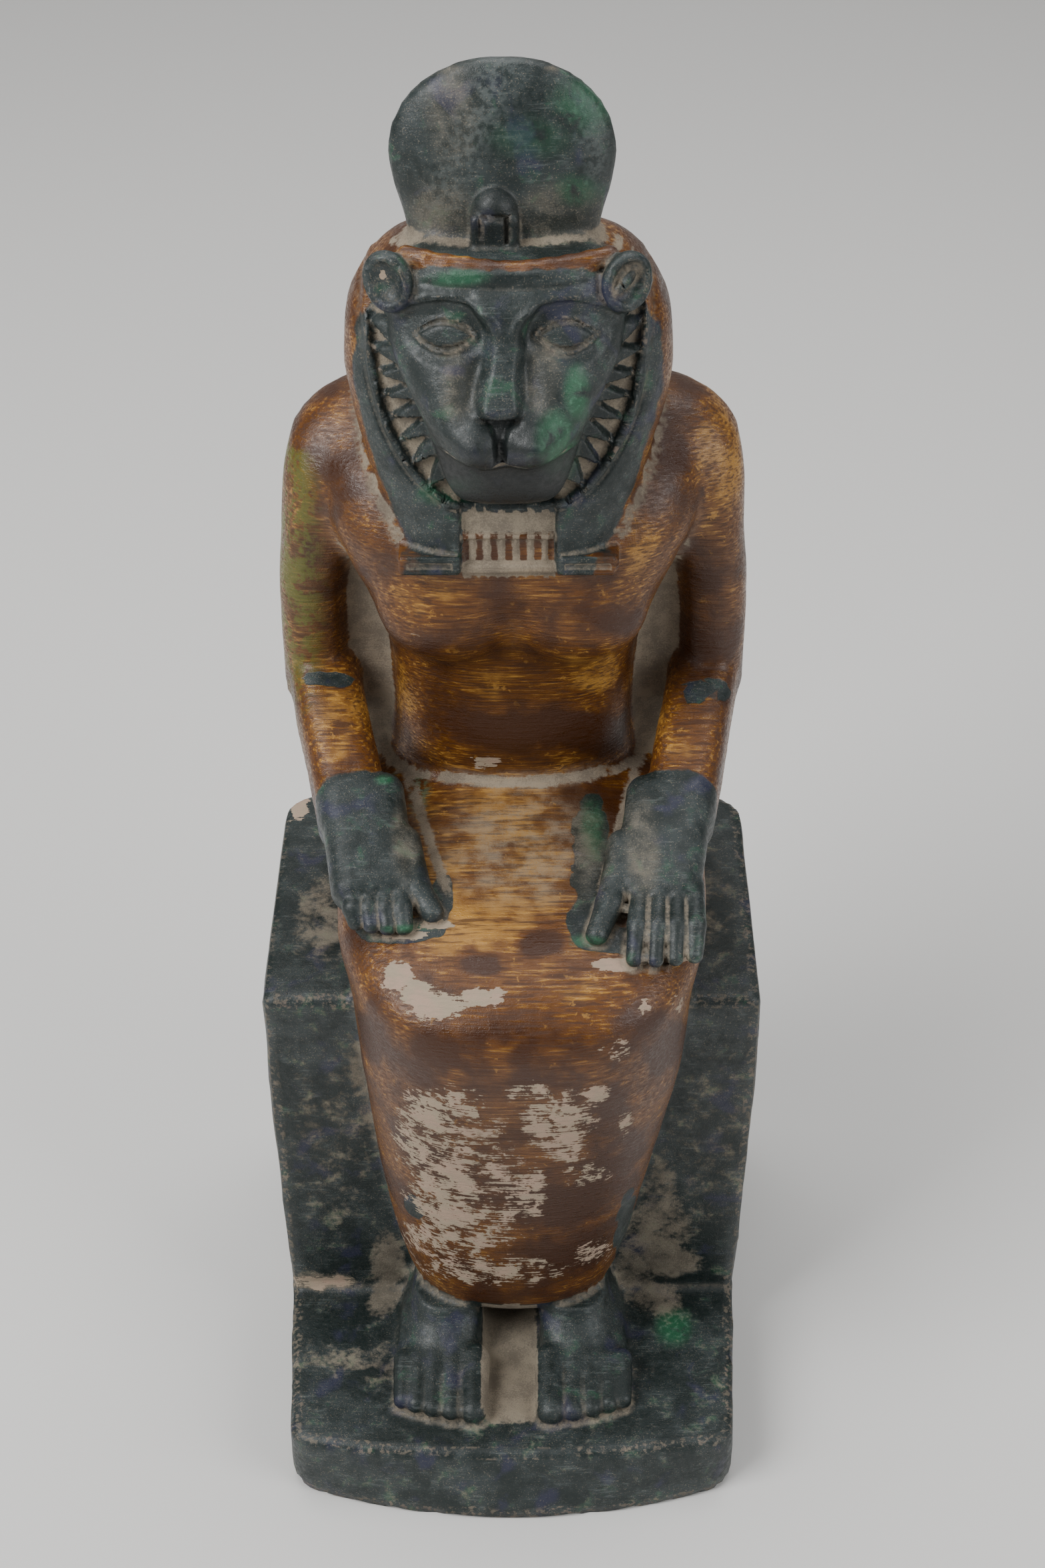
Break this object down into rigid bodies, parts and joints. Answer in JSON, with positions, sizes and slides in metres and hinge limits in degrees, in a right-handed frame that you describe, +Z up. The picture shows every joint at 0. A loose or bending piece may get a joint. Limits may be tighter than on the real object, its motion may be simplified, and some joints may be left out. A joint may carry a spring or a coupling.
{
  "type": "seated sekhmet statue",
  "caption": "Carved stone statuette of a lioness-headed goddess with a sun disc, seated on a block throne with its plinth in one piece; a desk or shelf ornament that stands on its flat underside.",
  "frame": {"origin": "centre of the flat underside of the plinth", "axes": "+Z up, the figure faces -Y, +X is on the viewer's right"},
  "size_m": [0.1106, 0.1306, 0.307],
  "materials": {
    "painted_stone": "hand-filed limestone under worn dark green paint and glossy amber-brown lacquer, with bare pale stone where it has flaked"
  },
  "bodies": {
    "root": {"seated_sekhmet": "painted_stone"}
  },
  "joints": []
}
